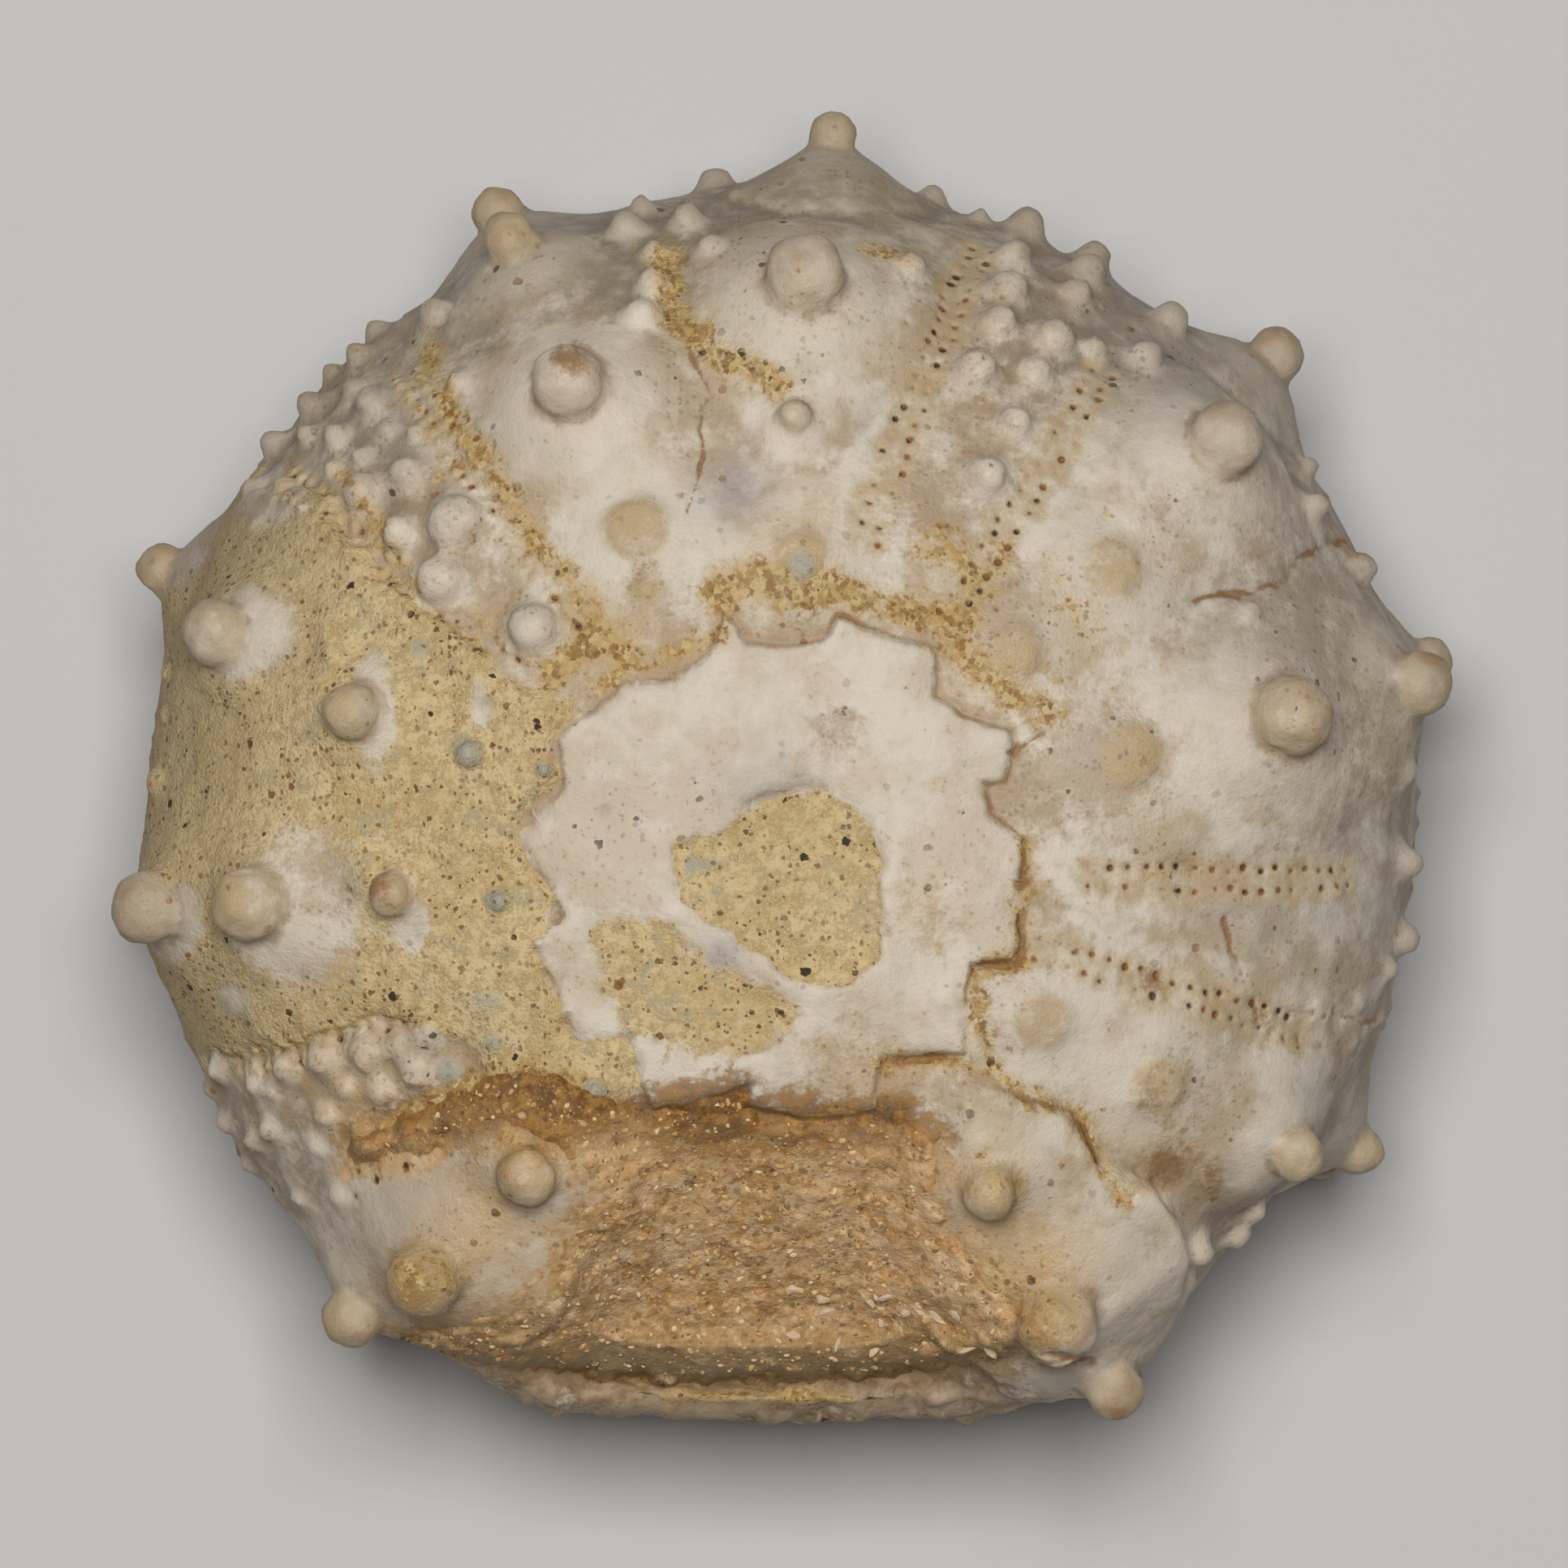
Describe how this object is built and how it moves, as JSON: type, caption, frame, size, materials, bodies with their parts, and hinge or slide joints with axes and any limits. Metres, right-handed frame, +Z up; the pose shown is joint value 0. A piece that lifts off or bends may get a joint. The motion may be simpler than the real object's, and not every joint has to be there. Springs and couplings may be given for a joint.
{
  "type": "fossil sea urchin",
  "caption": "Fossil regular sea urchin: a flattened round shell of calcite with ball-headed tubercles, a raised star disc on top, a crushed side and a flat stone plug to rest on.",
  "frame": {"origin": "middle of the box, at the flat face that the urchin rests on", "axes": "+Z up through the apex, -Y towards the crushed side, +X to the right when seen from the crushed side"},
  "size_m": [0.033, 0.0322, 0.0182],
  "materials": {
    "weathered_calcite": "smooth weathered off-white calcite, with tan limestone matrix on one side and coarse brown sediment on the crushed side"
  },
  "bodies": {
    "root": {"fossil_sea_urchin": "weathered_calcite"}
  },
  "joints": []
}
